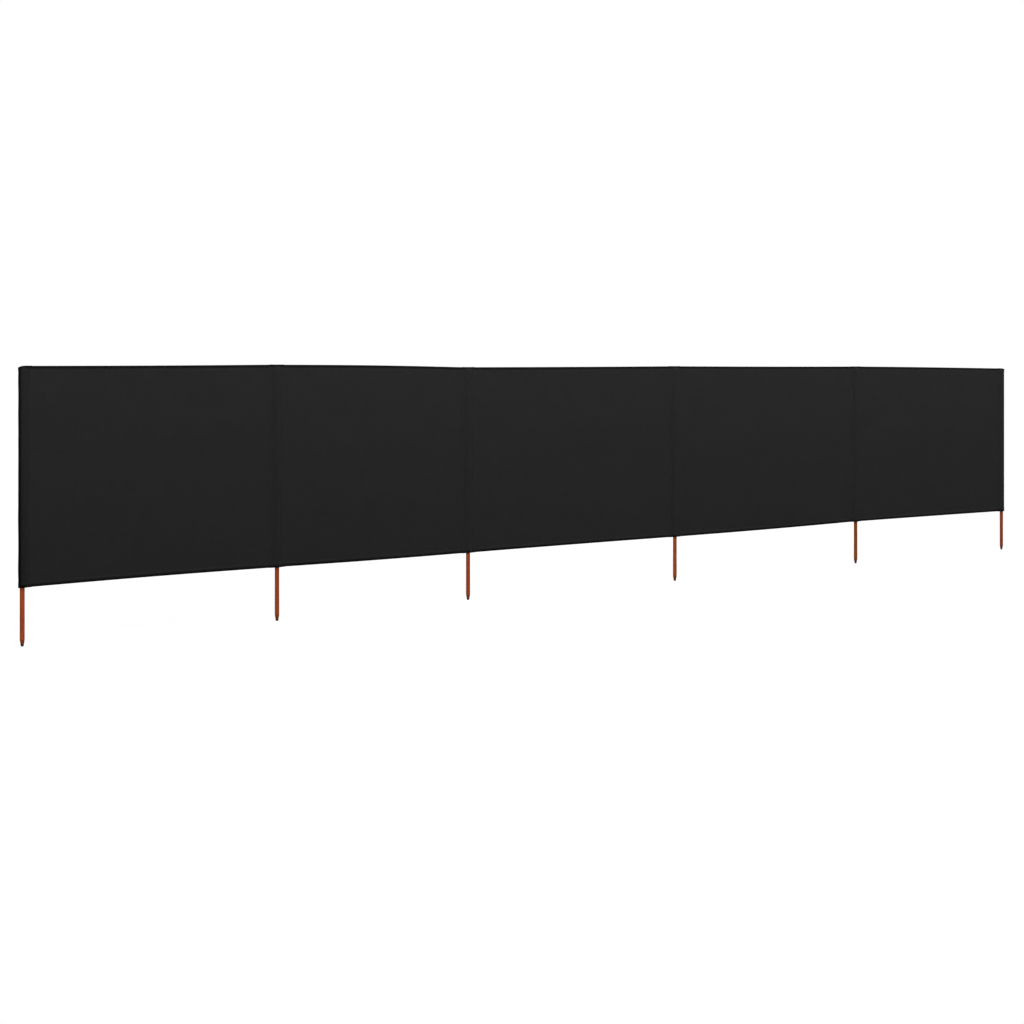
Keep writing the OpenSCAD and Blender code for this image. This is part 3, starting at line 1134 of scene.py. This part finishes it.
stripRun = stripSide - stripFold - 2 * pocketSet["rowEnd"]
stripRuns = [(middle, stripRun) for middle in bothWays([(stripFold + stripSide) / 2])]
stripLevels = bothWays([stripSide - pocketSet["mouthRow"], stripFold + pocketSet["crownRow"]])
wrapRuns = [((wrapLow + wrapHigh) / 2, pocketTall - 2 * pocketSet["rowEnd"])]
wrapLevels = [wrapLow + pocketSet["mouthRow"], wrapHigh - pocketSet["crownRow"]]
stripModel = flatCut(stripCut, stripRows)
stripStitches = sewRows(stripCut, stripRuns, stripLevels)


# pockets are rubbed paler along the pole and carry painted shade in their seams, turned edges and end
# folds, and the first one gets more painted shade round its fold, deeper lower down
def pocketWearAndShade(n, edge, x, y):
    atEnd = n in endPoles
    fromSeam = abs(edge - abs(x) - pocketSet["seamRow"])
    rims = (y - wrapLow, y - wrapHigh) if atEnd else (y, abs(y) - stripSide)
    # painted shade along the seam rows and at the turned edges
    wearAndShade = -wearAndShadeSet["seamLine"] * max(0.0, 1 - fromSeam / wearAndShadeSet["seamLineReach"])
    wearAndShade -= wearAndShadeSet["rim"] * max(atFold(rim) for rim in rims)
    if atEnd:
        # painted shade round the outer fold of an end pocket
        wearAndShade -= wearAndShadeSet["endFold"] * atFold(x)
    else:
        patches = easeBetween(*wearAndShadeSet["rubPatches"], wobble("rub", n, y * wearAndShadeSet["rubWaves"]))
        wearAndShade += wearAndShadeSet["rub"] * patches * max(0.0, 1 - abs(x) / wearAndShadeSet["rubReach"])
    # painted shade round the first pocket's fold, deeper lower down
    if n == 0:
        up = easeBetween(*wearAndShadeSet["endPocketShadeRise"], y)
        endPocketShade = wearAndShadeSet["endPocketShadeLow"] * (1 - up) + wearAndShadeSet["endPocketShadeHigh"] * up
        wearAndShade -= endPocketShade * (1 - easeBetween(*wearAndShadeSet["endPocketShadeFade"], abs(x)))
    return wearAndShade


for n in range(poleCount):
    atEnd = n in endPoles
    cut = pocketCuts[n]
    pointPlace = wrapPoint if atEnd else stripPoint
    pocket = flatCut(cut, wrapRows) if atEnd else copyPiece(stripModel, "pocket")
    seam = sewRows(cut, wrapRuns, wrapLevels) if atEnd else copyPiece(stripStitches, "seam")
    pocket.name = pocket.data.name = f"polePocket_{n + 1}"
    seam.name = seam.data.name = f"pocketStitches_{n + 1}"
    edge = cut[0] / 2
    wearAndShadeMarks(pocket, [pocketWearAndShade(n, edge, point.co.x, point.co.y) for point in pocket.data.vertices])
    for piece in (pocket, seam):
        for point in piece.data.vertices:
            point.co = pointPlace(n, *point.co)
    applyModifier(pocket, "SOLIDIFY", thickness=sewSet["thick"], offset=0.0)
    smoothPiece(pocket, sewSet["smooth"])
    smoothPiece(seam, stitchSet["smooth"])
    pocket.data.materials.append(pocketMaterial)
    seam.data.materials.append(sewingThread)
    for piece in (pocket, seam):
        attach(piece, "root")
    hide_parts(f"pocket_{n + 1}")
for spare in (stripModel, stripStitches, stitchModel):
    dropPiece(spare)

print("flat cuts in metres: bays", bayCuts, "pockets", pocketCuts)

clearSelection()
